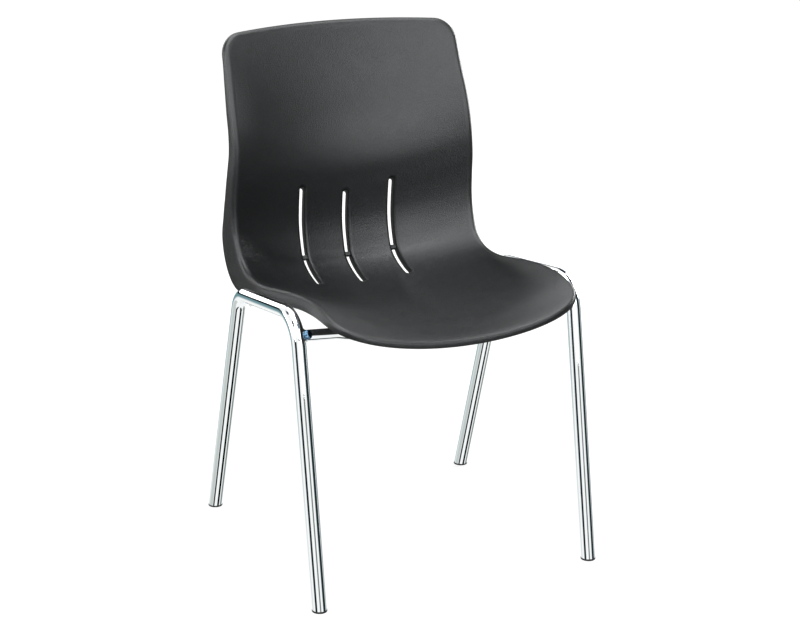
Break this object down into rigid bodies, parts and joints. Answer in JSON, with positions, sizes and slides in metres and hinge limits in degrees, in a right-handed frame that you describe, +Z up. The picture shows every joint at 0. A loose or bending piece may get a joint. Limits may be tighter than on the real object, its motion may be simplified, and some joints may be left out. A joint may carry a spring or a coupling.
{
  "type": "stacking chair",
  "caption": "Stacking chair with a moulded black plastic seat shell with a slotted back, on a chromed tubular steel frame with four legs.",
  "frame": {"origin": "floor level under the middle of the chair's outline, midway between the side frames", "axes": "+X to the sitter's left, +Y to the back of the chair, +Z up"},
  "size_m": [0.479, 0.5046, 0.7934],
  "materials": {
    "shell": "finely grained black polypropylene",
    "frame": "bright chromed steel tube",
    "inserts": "plain turned brass",
    "fixings": "zinc plated steel",
    "glides": "black moulded plastic"
  },
  "bodies": {
    "root": {"seat_shell": "shell", "side_frame_left": "frame", "side_frame_right": "frame", "front_cross_tube": "frame", "rear_cross_tube": "frame", "front_stud_left": "frame", "front_stud_right": "frame", "mounting_tab_front_left": "frame", "mounting_tab_front_right": "frame", "mounting_tab_rear_left": "frame", "mounting_tab_rear_right": "frame", "threaded_insert_front_left": "inserts", "threaded_insert_front_right": "inserts", "threaded_insert_rear_left": "inserts", "threaded_insert_rear_right": "inserts", "washer_front_left": "fixings", "washer_front_right": "fixings", "washer_rear_left": "fixings", "washer_rear_right": "fixings", "screw_front_left": "fixings", "screw_front_right": "fixings", "screw_rear_left": "fixings", "screw_rear_right": "fixings", "foot_glide_front_left": "glides", "foot_glide_front_right": "glides", "foot_glide_rear_left": "glides", "foot_glide_rear_right": "glides"}
  },
  "joints": []
}
